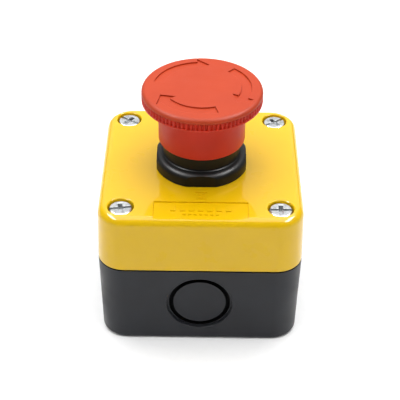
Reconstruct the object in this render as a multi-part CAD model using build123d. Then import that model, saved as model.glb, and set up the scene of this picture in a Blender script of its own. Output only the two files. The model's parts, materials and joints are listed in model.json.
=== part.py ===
from build123d import *
from math import asin, cos, degrees, radians, sin
import os

# Emergency stop station: a push-to-stop, twist-to-release mushroom button in a two-part moulded box.
# Millimetres. Origin at the bottom centre of the box, +Z towards the button, -Y the side of one entry.

# Enclosure
BOX_W = 68.0            # width and depth where the two halves meet
BACK_W = 66.7           # width at the back face
FRONT_W = 67.2          # width at the front face
CORNER_R = 9.0          # upright corners
SPLIT_Z = 30.5
FRONT_Z = 51.0
FRONT_EDGE_R = 3.0
BACK_EDGE_R = 1.2
CAVITY_W = 61.4
CAVITY_R = 6.0
FLOOR_T = 3.0
LID_T = 3.0
TONGUE_IN = 1.2         # from the outside face to the sealing tongue
TONGUE_W = 1.2
TONGUE_H = 1.0
GROOVE_D = 1.8
GROOVE_FIT = 0.1        # between the tongue and each side of its groove
PARTING_IN = 0.5        # shadow line between the halves
PARTING_H = 0.35
SCREW_AT = 26.0         # cover screws, from each centre line
BOX_BOSS_R = 5.2
LID_BOSS_R = 5.5
PILOT_R = 1.85
PILOT_LOW = 8.0
SHANK_HOLE_R = 1.95
WELL_R = 4.25
WELL_FLOOR = 47.4
WELL_LEAD = 0.25
FIXING_AT = 27.0        # wall fixing holes, from the centre
FIXING_R = 2.15

# Cable entries: a recess in the wall and a ring groove that leaves a thin web round the disc
ENTRY_Z = 15.9
ENTRY_R = 10.95
ENTRY_D = 1.0
DISC_R = 8.85
DISC_GROOVE_R = 10.3
DISC_GROOVE_D = 2.4

# Front markings
PANEL_X = 30.8
PANEL_Y = 16.8
PANEL_AT = -31.6
PANEL_D = 0.4
RIB_H = 0.25
RIB_COUNT = 7
RIB_ROWS = ((-26.2, 1.8, 3.2, 3.0), (-29.2, 1.0, 1.2, 1.8))     # place, width, length, step
SYMBOL_AT = -19.9
SYMBOL_D = 0.2
SYMBOL_LINE = 0.4
SYMBOL_SQUARES = ((4.2, 4.0), (2.2, 2.0))

# Cover screws
SCREW_HEAD_R = 3.75
SCREW_SEAT = 48.1
SCREW_TOP = 50.4
SCREW_LOW = 12.0
SCREW_CORE_R = 1.4
SCREW_CREST_R = 1.8
SCREW_PITCH = 1.25
SCREW_TURNS = (10, -35, 0, 35)      # degrees, the angle each screw was left at

# Operator
PANEL_HOLE_R = 11.2
BARREL_R = 11.0
BARREL_LOW = 36.0
BARREL_TOP = 62.6
BORE_R = 8.2
BEZEL_R = 15.9
BEZEL_FLAT = 15.05
SHOULDER_TOP = 55.8
SHOULDER_R = 2.2
COLLAR_R = 13.0
COLLAR_TOP = 61.0
COLLAR_IN = 11.05
LIP_R = 12.7            # barrel's lip over the collar
SEAL_IN = 11.8          # groove for the panel seal
SEAL_OUT = 14.2
SEAL_TOP = 51.9
RELIEF_R = 9.5          # wider lower bore, room for the return spring
RELIEF_TOP = 50.8
BARREL_FLOOR = 37.5
BARREL_HOLE_R = 6.2
BARREL_PITCH = 1.5
THREAD_END = 47.0
NUT_R = 14.5
NUT_H = 5.0
NUT_NOTCHES = 6
NOTCH_X = 2.4
NOTCH_Y = 3.2
KEY_W = 3.0
KEY_OUT = 12.1
KEY_AT = -11.3
KEY_FIT = 0.2

# Mushroom head
HEAD_R = 20.0
HEAD_LOW = 75.9
CAP_LOW = 78.6
CAP_EDGE_Z = 80.35
HEAD_TOP = 81.0
SKIRT_R = 14.5
SKIRT_IN = 13.4
SKIRT_LOW = 61.2
SKIRT_FLOOR = 74.6
BAND_TOP = 78.5
SEAT_R = 18.3           # step that the cap is pressed into
SEAT_LOW = 76.9
CAP_SOCKET_IN = 16.4
CAP_SOCKET_OUT = 18.2
CAP_SOCKET_LOW = 76.95
CAP_INNER_TOP = 78.9
HUB_R = 6.0
HUB_LOW = 68.0
HUB_BORE_R = 3.52
SPINDLE_SEAT_R = 4.7
SPINDLE_SEAT_Z = 75.7
RIM_R = 1.6
FLUTES = 86
FLUTE_R = 0.62
FLUTE_LOW = 76.3
ARROW_R = 14.5
ARROW_W = 3.4
ARROW_HEAD_W = 7.5
ARROW_DEPTH = 0.5
ARROW_SWEEP = 73.0      # degrees, tail to head base
ARROW_TIP = 88.0        # degrees, tail to tip
ARROW_TAIL = 49.0       # degrees, the first arrow's tail

# Spindle, sleeve and latch
SPINDLE_R = 3.5
SPINDLE_LOW = 34.5
SPINDLE_HEAD_R = 4.65
SPINDLE_HEAD_TOP = 76.85
CLIP_LOW = 35.4
CLIP_TOP = 36.1
CLIP_NECK_R = 3.0
CLIP_R = 5.4
SLEEVE_R = 8.1
SLEEVE_TAIL_R = 5.8
SLEEVE_LOW = 36.3
SLEEVE_SHOULDER = 49.0
SLEEVE_TOP = 67.7
SLEEVE_BORE_R = 3.6
SLEEVE_POCKET_R = 6.2
SLEEVE_POCKET_Z = 58.0
RING_GROOVE_R = 7.1
RING_GROOVE_LOW = 59.6
RING_GROOVE_TOP = 61.4
RING_R = 7.63
RING_WIRE_R = 0.5
RETURN_COIL_R = 7.4
RETURN_WIRE = 1.0
RETURN_TURNS = 5
TWIST_COIL_R = 5.0
TWIST_WIRE = 0.8
TWIST_TOP = 66.0
TWIST_TURNS = 6.5
PAWL_LOW = 52.0
PAWL_H = 3.0
PAWL_W = 3.0
PAWL_IN = 4.3
PAWL_OUT = 8.05
PAWL_TOE = 7.1
PAWL_RAMP = 1.1
FIT = 0.1               # sliding clearance on each side

# Contact block
BLOCK_LOW = 6.0
BLOCK_TOP = 24.0
BLOCK_X = 14.0
BLOCK_Y = 38.0
BLOCK_WALL = 1.5
TURRET_TOP = 27.5
TERMINAL_Y = 13.5
STRIP_Z = 19.0
STRIP_T = 0.8
TIP_T = 0.8
BRIDGE_LOW = 16.55
BRIDGE_T = 0.8
TIP_Y = 7.2
BLOCK_SCREW_X = 11.0
BLOCK_BOSS_R = 3.2
BLOCK_PILOT_R = 1.35
BLOCK_PILOT_LOW = 2.0
BLOCK_REST_AT = 15.0
BLOCK_REST_X = 10.0
BLOCK_REST_Y = 2.0
FOOT_X = 28.0
FOOT_Y = 12.0
FOOT_H = 2.5
TURRET_X = 11.0
TURRET_Y = 9.5
COVER_T = 1.4           # rebate for the side cover
CLAMP_T = 0.8
CLAMP_LOW = 20.0
TERMINAL_HEAD_TOP = 22.8
SMALL_HEAD_R = 2.7
SLIDER_X = 6.0
SLIDER_Y = 4.4
SLIDER_PAD_R = 3.4
SLIDER_TOP = 34.4
BRIDGE_COIL_R = 2.2
BRIDGE_WIRE = 0.5
BRIDGE_TURNS = 6
SPRING_SEAT = 8.6

FOUR_CORNERS = [(x, y) for x in (-SCREW_AT, SCREW_AT) for y in (-SCREW_AT, SCREW_AT)]


def disc(radius, low, high):
    """Upright cylinder."""
    return Pos(0, 0, low) * extrude(Circle(radius), high - low)


def ring(inner, outer, low, high):
    """Upright tube."""
    return Pos(0, 0, low) * extrude(Circle(outer) - Circle(inner), high - low)


def block(x_size, y_size, low, high):
    """Upright box centred on the Z axis."""
    return Pos(0, 0, low) * extrude(Rectangle(x_size, y_size), high - low)


def slab(width, radius, low, high):
    """Upright square prism with rounded corners."""
    return Pos(0, 0, low) * extrude(RectangleRounded(width, width, radius), high - low)


def turned(points, rounds=()):
    """Solid of revolution about Z from (radius, height) points; rounds gives (point number, radius)."""
    profile = make_face(Polyline(*points, close=True))
    for number, radius in rounds:
        corner = profile.vertices().sort_by_distance(Vector(*points[number], 0))[0]
        profile = fillet(corner, radius)
    return revolve(Plane.XZ * profile, Axis.Z)


def tapered(low_width, high_width, low, high):
    """Drafted enclosure half with rounded upright corners."""
    low_face = RectangleRounded(low_width, low_width, CORNER_R - (BOX_W - low_width) / 2)
    high_face = RectangleRounded(high_width, high_width, CORNER_R - (BOX_W - high_width) / 2)
    return loft([Pos(0, 0, low) * low_face, Pos(0, 0, high) * high_face])


def outline_inside(distance):
    """Rounded square outline at a distance inside the outline where the halves meet."""
    width = BOX_W - 2 * distance
    return RectangleRounded(width, width, CORNER_R - distance)


def key_way(low, high):
    """Room for the barrel's key in the cover and in the clamping ring."""
    return Pos(0, KEY_AT) * block(KEY_W + 2 * KEY_FIT, 2.0, low, high)


def coil(mean_radius, wire, low, high, turns):
    """Open coil spring between two heights."""
    rise = high - low - wire
    path = Helix(rise / turns, rise, mean_radius, center=(0, 0, low + wire / 2))
    section = Plane(origin=path @ 0, z_dir=path % 0) * Circle(wire / 2)
    return sweep(section, path=path, is_frenet=True)


def screw_thread(core, crest, low, high, pitch):
    """Threaded shank drawn as rings, from low up to high."""
    points = [(0, low), (core, low)]
    z = low
    while z + pitch <= high:
        points.append((crest, z + pitch / 2))
        points.append((core, z + pitch))
        z += pitch
    if high - z > 0.01:
        points.append((core, high))
    points.append((0, high))
    return turned(points)


def drive_recess(top, depth, length, width, short):
    """Slot with a shorter cross arm, cut down from the top of a screw head."""
    slot = block(length, width, top - depth, top + 1)
    arm = block(width * 1.4, short, top - depth, top + 1)
    return slot + arm


# Enclosure

def knock_out(side):
    """Round recess and thin ring groove in the wall on the -Y or +Y side."""
    draft = (BOX_W - BACK_W) / 2 / SPLIT_Z
    face_y = BACK_W / 2 + draft * ENTRY_Z
    wall = Plane(origin=(0, side * face_y, ENTRY_Z), x_dir=(1, 0, 0), z_dir=(0, side, -draft))
    recess = wall * Pos(0, 0, -ENTRY_D) * extrude(Circle(ENTRY_R), 3)
    groove = wall * Pos(0, 0, -DISC_GROOVE_D) * extrude(Circle(DISC_GROOVE_R) - Circle(DISC_R), 3)
    return recess + groove


def rear_box():
    shell = tapered(BACK_W, BOX_W, 0, SPLIT_Z)
    shell = fillet(shell.faces().sort_by(Axis.Z)[0].edges(), BACK_EDGE_R)
    shell -= slab(CAVITY_W, CAVITY_R, FLOOR_T, SPLIT_Z + 1)
    outline = RectangleRounded(BOX_W + 2, BOX_W + 2, CORNER_R)
    inset_w = BOX_W - 2 * PARTING_IN
    inset = RectangleRounded(inset_w, inset_w, CORNER_R - PARTING_IN)
    shell -= Pos(0, 0, SPLIT_Z - PARTING_H) * extrude(outline - inset, 2)
    tongue_out = BOX_W - 2 * TONGUE_IN
    tongue_in = tongue_out - 2 * TONGUE_W
    shell += slab(tongue_out, CORNER_R - TONGUE_IN, SPLIT_Z, SPLIT_Z + TONGUE_H)
    shell -= slab(tongue_in, CORNER_R - TONGUE_IN - TONGUE_W, SPLIT_Z, SPLIT_Z + TONGUE_H + 1)
    shell -= slab(CAVITY_W, CAVITY_R, FLOOR_T, SPLIT_Z)
    for x, y in FOUR_CORNERS:
        shell += Pos(x, y) * disc(BOX_BOSS_R, FLOOR_T - 1, SPLIT_Z)
    for x in (-BLOCK_SCREW_X, BLOCK_SCREW_X):
        shell += Pos(x, 0) * disc(BLOCK_BOSS_R, FLOOR_T - 1, BLOCK_LOW)
    for y in (-BLOCK_REST_AT, BLOCK_REST_AT):
        shell += Pos(0, y) * block(BLOCK_REST_X, BLOCK_REST_Y, FLOOR_T - 1, BLOCK_LOW)
    for x, y in FOUR_CORNERS:
        shell -= Pos(x, y) * disc(PILOT_R, PILOT_LOW, SPLIT_Z + 1)
    for x in (-BLOCK_SCREW_X, BLOCK_SCREW_X):
        shell -= Pos(x, 0) * disc(BLOCK_PILOT_R, BLOCK_PILOT_LOW, BLOCK_LOW + 1)
    for y in (-FIXING_AT, FIXING_AT):
        shell -= Pos(0, y) * disc(FIXING_R, -1, FLOOR_T + 1)
    for side in (-1, 1):
        shell -= knock_out(side)
    return shell


def double_square(top):
    """Two nested square outlines, engraved below the given height."""
    face = Sketch()
    for width, length in SYMBOL_SQUARES:
        face += Rectangle(width, length) - Rectangle(width - 2 * SYMBOL_LINE, length - 2 * SYMBOL_LINE)
    return Pos(0, SYMBOL_AT, top - SYMBOL_D) * extrude(face, 1)


def front_cover():
    shell = tapered(BOX_W, FRONT_W, SPLIT_Z, FRONT_Z)
    shell = fillet(shell.faces().sort_by(Axis.Z)[-1].edges(), FRONT_EDGE_R)
    shell = fillet(shell.faces().sort_by(Axis.Z)[0].edges(), 0.4)
    shell -= slab(CAVITY_W - 0.2, CAVITY_R, SPLIT_Z - 1, FRONT_Z - LID_T)
    for x, y in FOUR_CORNERS:
        shell += Pos(x, y) * disc(LID_BOSS_R, SPLIT_Z, FRONT_Z - LID_T + 1)
    groove_out_in = TONGUE_IN - GROOVE_FIT
    groove_in_in = TONGUE_IN + TONGUE_W + GROOVE_FIT
    groove_face = outline_inside(groove_out_in) - outline_inside(groove_in_in)
    shell -= Pos(0, 0, SPLIT_Z - 1) * extrude(groove_face, GROOVE_D + 1)
    mouth_r, above = WELL_R + WELL_LEAD, FRONT_Z + 2
    well = turned([(0, WELL_FLOOR), (WELL_R, WELL_FLOOR), (WELL_R, FRONT_Z - WELL_LEAD), (mouth_r, FRONT_Z),
                   (mouth_r, above), (0, above)])
    for x, y in FOUR_CORNERS:
        shell -= Pos(x, y) * well
        shell -= Pos(x, y) * disc(SHANK_HOLE_R, SPLIT_Z - 1, WELL_FLOOR + 0.6)
    shell -= disc(PANEL_HOLE_R, FRONT_Z - LID_T - 1, FRONT_Z + 1)
    shell -= key_way(FRONT_Z - LID_T - 1, FRONT_Z + 1)
    shell -= Pos(0, PANEL_AT) * block(PANEL_X, PANEL_Y, FRONT_Z - PANEL_D, FRONT_Z + 1)
    for row_at, width, length, step in RIB_ROWS:
        rib = block(width, length, FRONT_Z - 2 * PANEL_D, FRONT_Z - PANEL_D + RIB_H)
        for number in range(RIB_COUNT):
            shell += Pos(step * (number - (RIB_COUNT - 1) / 2), row_at) * rib
    shell -= double_square(FRONT_Z)
    return shell


def cover_gasket():
    slack = GROOVE_FIT / 2
    face = outline_inside(TONGUE_IN - slack) - outline_inside(TONGUE_IN + TONGUE_W + slack)
    return Pos(0, 0, SPLIT_Z + TONGUE_H) * extrude(face, GROOVE_D - TONGUE_H)


def cover_screws():
    """Four identical screws, each left at its own angle."""
    head = turned([(0, SCREW_SEAT), (SCREW_HEAD_R, SCREW_SEAT), (SCREW_HEAD_R, SCREW_TOP), (0, SCREW_TOP)],
                  rounds=[(2, 0.35)])
    head -= drive_recess(SCREW_TOP, 1.1, 9.0, 1.05, 4.6)
    screw = head + screw_thread(SCREW_CORE_R, SCREW_CREST_R, SCREW_LOW, SCREW_SEAT + 0.05, SCREW_PITCH)
    return [Pos(x, y) * Rot(0, 0, turn) * screw for (x, y), turn in zip(FOUR_CORNERS, SCREW_TURNS)]


def screw_seal_rings():
    return [Pos(x, y) * ring(SHANK_HOLE_R, 3.4, WELL_FLOOR, SCREW_SEAT) for x, y in FOUR_CORNERS]


# Operator

def bezel_ring():
    """Clamping ring: a flange with a rounded shoulder and four flats, and a collar above it."""
    body = turned(
        [(COLLAR_IN, FRONT_Z), (BEZEL_R, FRONT_Z), (BEZEL_R, SHOULDER_TOP), (COLLAR_R, SHOULDER_TOP),
         (COLLAR_R, COLLAR_TOP), (COLLAR_IN, COLLAR_TOP)], rounds=[(2, SHOULDER_R), (4, 0.3)])
    outline = Circle(BEZEL_R) & Rectangle(2 * BEZEL_FLAT, 2 * BEZEL_FLAT)
    body &= Pos(0, 0, FRONT_Z - 1) * extrude(outline, COLLAR_TOP - FRONT_Z + 2)
    body -= ring(SEAL_IN, SEAL_OUT, FRONT_Z - 1, SEAL_TOP)
    body -= key_way(FRONT_Z - 1, COLLAR_TOP + 1)
    return body


def panel_seal():
    return ring(SEAL_IN + 0.05, SEAL_OUT - 0.05, FRONT_Z, SEAL_TOP)


def operator_barrel():
    points = [(BARREL_HOLE_R, BARREL_LOW), (BARREL_R - 0.7, BARREL_LOW)]
    z = BARREL_LOW + BARREL_PITCH / 2
    while z < THREAD_END:
        points.append((BARREL_R, z))
        points.append((BARREL_R - 0.6, z + BARREL_PITCH / 2))
        z += BARREL_PITCH
    points += [(BARREL_R, FRONT_Z - LID_T), (BARREL_R, COLLAR_TOP), (LIP_R, COLLAR_TOP), (LIP_R, BARREL_TOP)]
    points += [(BORE_R, BARREL_TOP), (BORE_R, RELIEF_TOP), (RELIEF_R, RELIEF_TOP), (RELIEF_R, BARREL_FLOOR)]
    points += [(BARREL_HOLE_R, BARREL_FLOOR)]
    body = turned(points)
    key = Pos(0, KEY_AT) * block(KEY_W, 2 * (KEY_OUT + KEY_AT), FRONT_Z - LID_T, FRONT_Z)
    return body + key


def fixing_nut():
    """Round ring nut with tool notches, tight under the cover."""
    high = FRONT_Z - LID_T
    low = high - NUT_H
    body = ring(BARREL_R + 0.05, NUT_R, low, high)
    notch = Pos(NUT_R, 0) * block(NOTCH_X, NOTCH_Y, low - 1, high - 1.2)
    for number in range(NUT_NOTCHES):
        body -= Rot(0, 0, 360 * number / NUT_NOTCHES) * notch
    return body


# Mushroom head

def mushroom_skirt():
    """Fluted rim, the tube below it and the hub that grips the spindle."""
    body = turned(
        [(SKIRT_IN, SKIRT_LOW), (SKIRT_R, SKIRT_LOW), (SKIRT_R, HEAD_LOW), (HEAD_R, HEAD_LOW),
         (HEAD_R, BAND_TOP), (SEAT_R, BAND_TOP), (SEAT_R, SEAT_LOW), (SPINDLE_SEAT_R, SEAT_LOW),
         (SPINDLE_SEAT_R, SPINDLE_SEAT_Z), (HUB_BORE_R, SPINDLE_SEAT_Z), (HUB_BORE_R, HUB_LOW),
         (HUB_R, HUB_LOW), (HUB_R, SKIRT_FLOOR), (SKIRT_IN, SKIRT_FLOOR)],
        rounds=[(1, 0.45), (2, 0.5), (3, 0.2)])
    flute = Pos(HEAD_R + 0.05, 0) * disc(FLUTE_R, FLUTE_LOW, BAND_TOP + 0.5)
    flutes = [Rot(0, 0, 360 * number / FLUTES) * flute for number in range(FLUTES)]
    return body - flutes


def arrow_outline():
    """Curved arrow, tail to tip, running clockwise as seen from above."""
    inner = ARROW_R - ARROW_W / 2
    outer = ARROW_R + ARROW_W / 2

    def at(radius, back):
        angle = radians(ARROW_TAIL - back)
        return (radius * cos(angle), radius * sin(angle))

    half = ARROW_SWEEP / 2
    edges = [
        ThreePointArc(at(outer, 0), at(outer, half), at(outer, ARROW_SWEEP)),
        Line(at(outer, ARROW_SWEEP), at(ARROW_R + ARROW_HEAD_W / 2, ARROW_SWEEP)),
        Line(at(ARROW_R + ARROW_HEAD_W / 2, ARROW_SWEEP), at(ARROW_R, ARROW_TIP)),
        Line(at(ARROW_R, ARROW_TIP), at(ARROW_R - ARROW_HEAD_W / 2, ARROW_SWEEP)),
        Line(at(ARROW_R - ARROW_HEAD_W / 2, ARROW_SWEEP), at(inner, ARROW_SWEEP)),
        ThreePointArc(at(inner, ARROW_SWEEP), at(inner, half), at(inner, 0)),
        Line(at(inner, 0), at(outer, 0)),
    ]
    return make_face(edges)


def cap_blank(low):
    """Domed disc with a rounded rim, solid down to the given height."""
    rise = HEAD_TOP - CAP_EDGE_Z
    crown_r = (HEAD_R ** 2 + rise ** 2) / (2 * rise)
    sweep_angle = degrees(asin(HEAD_R / crown_r))
    crown = CenterArc((0, HEAD_TOP - crown_r), crown_r, 90 - sweep_angle, sweep_angle)
    sides = Polyline(crown @ 1, (0, low), (HEAD_R, low), crown @ 0)
    face = make_face([crown] + sides.edges())
    rim = face.vertices().sort_by_distance(Vector(HEAD_R, CAP_EDGE_Z, 0))[0]
    return revolve(Plane.XZ * fillet(rim, RIM_R), Axis.Z)


def mushroom_cap():
    body = cap_blank(CAP_LOW)
    body += ring(CAP_SOCKET_IN, CAP_SOCKET_OUT, CAP_SOCKET_LOW, CAP_LOW + 0.1)
    body -= disc(CAP_SOCKET_IN, CAP_LOW - 1, CAP_INNER_TOP)
    tool = Pos(0, 0, CAP_LOW + 0.4) * extrude(arrow_outline(), 3)
    tool -= Pos(0, 0, -ARROW_DEPTH) * cap_blank(CAP_LOW)
    for turn in range(3):
        body -= Rot(0, 0, 120 * turn) * tool
    return body


def twist_spindle():
    return turned(
        [(0, SPINDLE_LOW), (SPINDLE_R, SPINDLE_LOW), (SPINDLE_R, CLIP_LOW), (CLIP_NECK_R, CLIP_LOW),
         (CLIP_NECK_R, CLIP_TOP), (SPINDLE_R, CLIP_TOP), (SPINDLE_R, SPINDLE_SEAT_Z),
         (SPINDLE_HEAD_R, SPINDLE_SEAT_Z), (SPINDLE_HEAD_R, SPINDLE_HEAD_TOP), (0, SPINDLE_HEAD_TOP)])


def spindle_clip():
    """Open retaining clip in the spindle's groove."""
    body = ring(CLIP_NECK_R + 0.02, CLIP_R, CLIP_LOW + 0.05, CLIP_TOP - 0.05)
    return body - Pos(0, -4) * block(3.0, 4.0, CLIP_LOW - 1, CLIP_TOP + 1)


def plunger_sleeve():
    body = turned(
        [(SLEEVE_BORE_R, SLEEVE_LOW), (SLEEVE_TAIL_R, SLEEVE_LOW), (SLEEVE_TAIL_R, SLEEVE_SHOULDER),
         (SLEEVE_R, SLEEVE_SHOULDER), (SLEEVE_R, RING_GROOVE_LOW), (RING_GROOVE_R, RING_GROOVE_LOW),
         (RING_GROOVE_R, RING_GROOVE_TOP), (SLEEVE_R, RING_GROOVE_TOP), (SLEEVE_R, SLEEVE_TOP),
         (SLEEVE_POCKET_R, SLEEVE_TOP), (SLEEVE_POCKET_R, SLEEVE_POCKET_Z),
         (SLEEVE_BORE_R, SLEEVE_POCKET_Z)])
    body -= block(20, PAWL_W + 2 * FIT, PAWL_LOW - FIT, PAWL_LOW + PAWL_H + FIT)
    return body


def plunger_seal():
    return Pos(0, 0, (RING_GROOVE_LOW + RING_GROOVE_TOP) / 2) * Torus(RING_R, RING_WIRE_R)


def latch_pawl(side):
    """Sliding latch in the sleeve's side window, with a ramp under its nose."""
    low, high = PAWL_LOW, PAWL_LOW + PAWL_H
    points = [(PAWL_IN, low), (PAWL_TOE, low), (PAWL_OUT, low + PAWL_RAMP), (PAWL_OUT, high)]
    points.append((PAWL_IN, high))
    profile = make_face(Polyline(*points, close=True))
    pawl = Plane.XZ * extrude(Pos(0, 0, -PAWL_W / 2) * profile, PAWL_W)
    pawl &= disc(PAWL_OUT, low - 1, high + 1)
    return pawl if side > 0 else Rot(0, 0, 180) * pawl


def return_spring():
    return coil(RETURN_COIL_R, RETURN_WIRE, BARREL_FLOOR, SLEEVE_SHOULDER, RETURN_TURNS)


def twist_spring():
    return coil(TWIST_COIL_R, TWIST_WIRE, SLEEVE_POCKET_Z + 0.02, TWIST_TOP, TWIST_TURNS)


# Contact block

def contact_housing():
    body = block(BLOCK_X, BLOCK_Y, BLOCK_LOW, BLOCK_TOP)
    body += block(FOOT_X, FOOT_Y, BLOCK_LOW, BLOCK_LOW + FOOT_H)
    body += block(TURRET_X, TURRET_Y, BLOCK_TOP - 1, TURRET_TOP)
    floor, ceiling = BLOCK_LOW + BLOCK_WALL, BLOCK_TOP - BLOCK_WALL
    inner_x = BLOCK_X / 2 - BLOCK_WALL
    depth = inner_x + BLOCK_X / 2
    body -= Pos((BLOCK_X / 2 - inner_x) / 2, 0) * block(depth, 19, floor, ceiling)
    for y in (-TERMINAL_Y, TERMINAL_Y):
        body -= Pos((BLOCK_X / 2 - inner_x) / 2, y) * block(depth, 8.1, STRIP_Z, ceiling)
        body -= Pos(0, y) * disc(1.6, 13.5, 20)
        body -= Pos(0, y) * disc(3.1, ceiling - 1, BLOCK_TOP + 1)
        body -= Pos(0, y * 1.35) * block(6.4, 4, STRIP_Z + STRIP_T, ceiling - 0.5)
    body -= Pos((BLOCK_X - COVER_T) / 2, 0) * block(COVER_T, BLOCK_Y - 3, floor, ceiling)
    body += disc(3.2, floor - 0.5, SPRING_SEAT)
    body -= disc(1.6, floor, 9)
    body -= block(6.2, 4.6, ceiling - 1, TURRET_TOP + 1)
    for x in (-BLOCK_SCREW_X, BLOCK_SCREW_X):
        body -= Pos(x, 0) * disc(1.7, BLOCK_LOW - 1, BLOCK_LOW + 4)
    return body


def contact_side_cover():
    floor, ceiling = BLOCK_LOW + BLOCK_WALL, BLOCK_TOP - BLOCK_WALL
    plate = block(COVER_T - FIT, BLOCK_Y - 3 - FIT, floor + FIT / 2, ceiling - FIT / 2)
    return Pos((BLOCK_X - COVER_T) / 2, 0) * plate


def contact_slider():
    bridge_top = BRIDGE_LOW + BRIDGE_T
    pad_low = SLIDER_TOP - 2.2
    body = block(SLIDER_X, SLIDER_Y, bridge_top, pad_low + 0.1) + disc(SLIDER_PAD_R, pad_low, SLIDER_TOP)
    return body + disc(1.2, 13.0, bridge_top + 0.1)


def bridge_contact():
    bar = block(4.8, 17.2, BRIDGE_LOW, BRIDGE_LOW + BRIDGE_T)
    return bar - disc(1.3, BRIDGE_LOW - 1, BRIDGE_LOW + 2)


def bridge_tips():
    low = BRIDGE_LOW + BRIDGE_T
    return [Pos(0, y) * disc(1.5, low, low + TIP_T) for y in (-TIP_Y, TIP_Y)]


def bridge_spring():
    return coil(BRIDGE_COIL_R, BRIDGE_WIRE, SPRING_SEAT + 0.02, BRIDGE_LOW, BRIDGE_TURNS)


def fixed_contacts():
    """Two flat strips, each with a clearance hole for its terminal screw."""
    strip = Pos(0, 11.5) * block(5.4, 11.8, STRIP_Z, STRIP_Z + STRIP_T)
    strip -= Pos(0, TERMINAL_Y) * disc(1.6, STRIP_Z - 1, STRIP_Z + 2)
    return [strip, Rot(0, 0, 180) * strip]


def fixed_tips():
    return [Pos(0, y) * disc(1.5, STRIP_Z - TIP_T, STRIP_Z) for y in (-TIP_Y, TIP_Y)]


def terminal_screws():
    low = CLAMP_LOW + CLAMP_T
    head = disc(SMALL_HEAD_R, low, TERMINAL_HEAD_TOP) - drive_recess(TERMINAL_HEAD_TOP, 0.9, 6.0, 0.8, 3.0)
    screw = head + screw_thread(1.2, 1.5, 14.0, low + 0.1, 0.5)
    return [Pos(0, y) * screw for y in (-TERMINAL_Y, TERMINAL_Y)]


def terminal_clamps():
    plate = block(5.6, 6.4, CLAMP_LOW, CLAMP_LOW + CLAMP_T) - disc(1.6, CLAMP_LOW - 1, CLAMP_LOW + 2)
    return [Pos(0, y) * plate for y in (-TERMINAL_Y, TERMINAL_Y)]


def block_fixing_screws():
    top = BLOCK_LOW + FOOT_H
    head = disc(SMALL_HEAD_R, top, top + 1.8) - drive_recess(top + 1.8, 0.9, 6.0, 0.8, 3.0)
    screw = head + screw_thread(1.0, 1.3, 2.4, top + 0.1, 0.8)
    return [Pos(x, 0) * screw for x in (-BLOCK_SCREW_X, BLOCK_SCREW_X)]


PARTS = {
    "rear_box": rear_box,
    "front_cover": front_cover,
    "cover_gasket": cover_gasket,
    "cover_screws": cover_screws,
    "screw_seal_rings": screw_seal_rings,
    "bezel_ring": bezel_ring,
    "panel_seal": panel_seal,
    "operator_barrel": operator_barrel,
    "fixing_nut": fixing_nut,
    "mushroom_skirt": mushroom_skirt,
    "mushroom_cap": mushroom_cap,
    "twist_spindle": twist_spindle,
    "spindle_clip": spindle_clip,
    "plunger_sleeve": plunger_sleeve,
    "plunger_seal": plunger_seal,
    "return_spring": return_spring,
    "twist_spring": twist_spring,
    "contact_housing": contact_housing,
    "contact_side_cover": contact_side_cover,
    "contact_slider": contact_slider,
    "bridge_contact": bridge_contact,
    "bridge_tips": bridge_tips,
    "bridge_spring": bridge_spring,
    "fixed_contacts": fixed_contacts,
    "fixed_tips": fixed_tips,
    "terminal_screws": terminal_screws,
    "terminal_clamps": terminal_clamps,
    "block_fixing_screws": block_fixing_screws,
}


def write(name, shape):
    """One STEP file for a node; a list is a group of separate solids."""
    solids = shape if isinstance(shape, list) else [shape]
    bodies = [solid for item in solids for solid in item.solids()]
    node = bodies[0] if len(bodies) == 1 else Compound(children=bodies)
    node.label = name
    export_step(node, f"parts/{name}.step")
    print(f"{name}: {len(bodies)} solid(s), {sum(body.volume for body in bodies):.1f} mm3")


os.makedirs("parts", exist_ok=True)
for part_name, make in PARTS.items():
    write(part_name, make())
write("latch_pawl_left", latch_pawl(-1))
write("latch_pawl_right", latch_pawl(1))
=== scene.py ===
# %% [markdown]
# # An emergency stop button, finished in Blender
# The real object is a small surface-mount box: a dark grey back half, a yellow lid held by four plated
# screws, and a red mushroom head on a black ring. Its working parts already exist as exact solids in a
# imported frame. This lesson loads them, remodels the shells that show with soft moulded edges, and gives
# every piece, inside and out, a finish with its own grain.

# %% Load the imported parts
import json
import math

import bmesh
import bpy
from mathutils import Matrix, Vector


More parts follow.
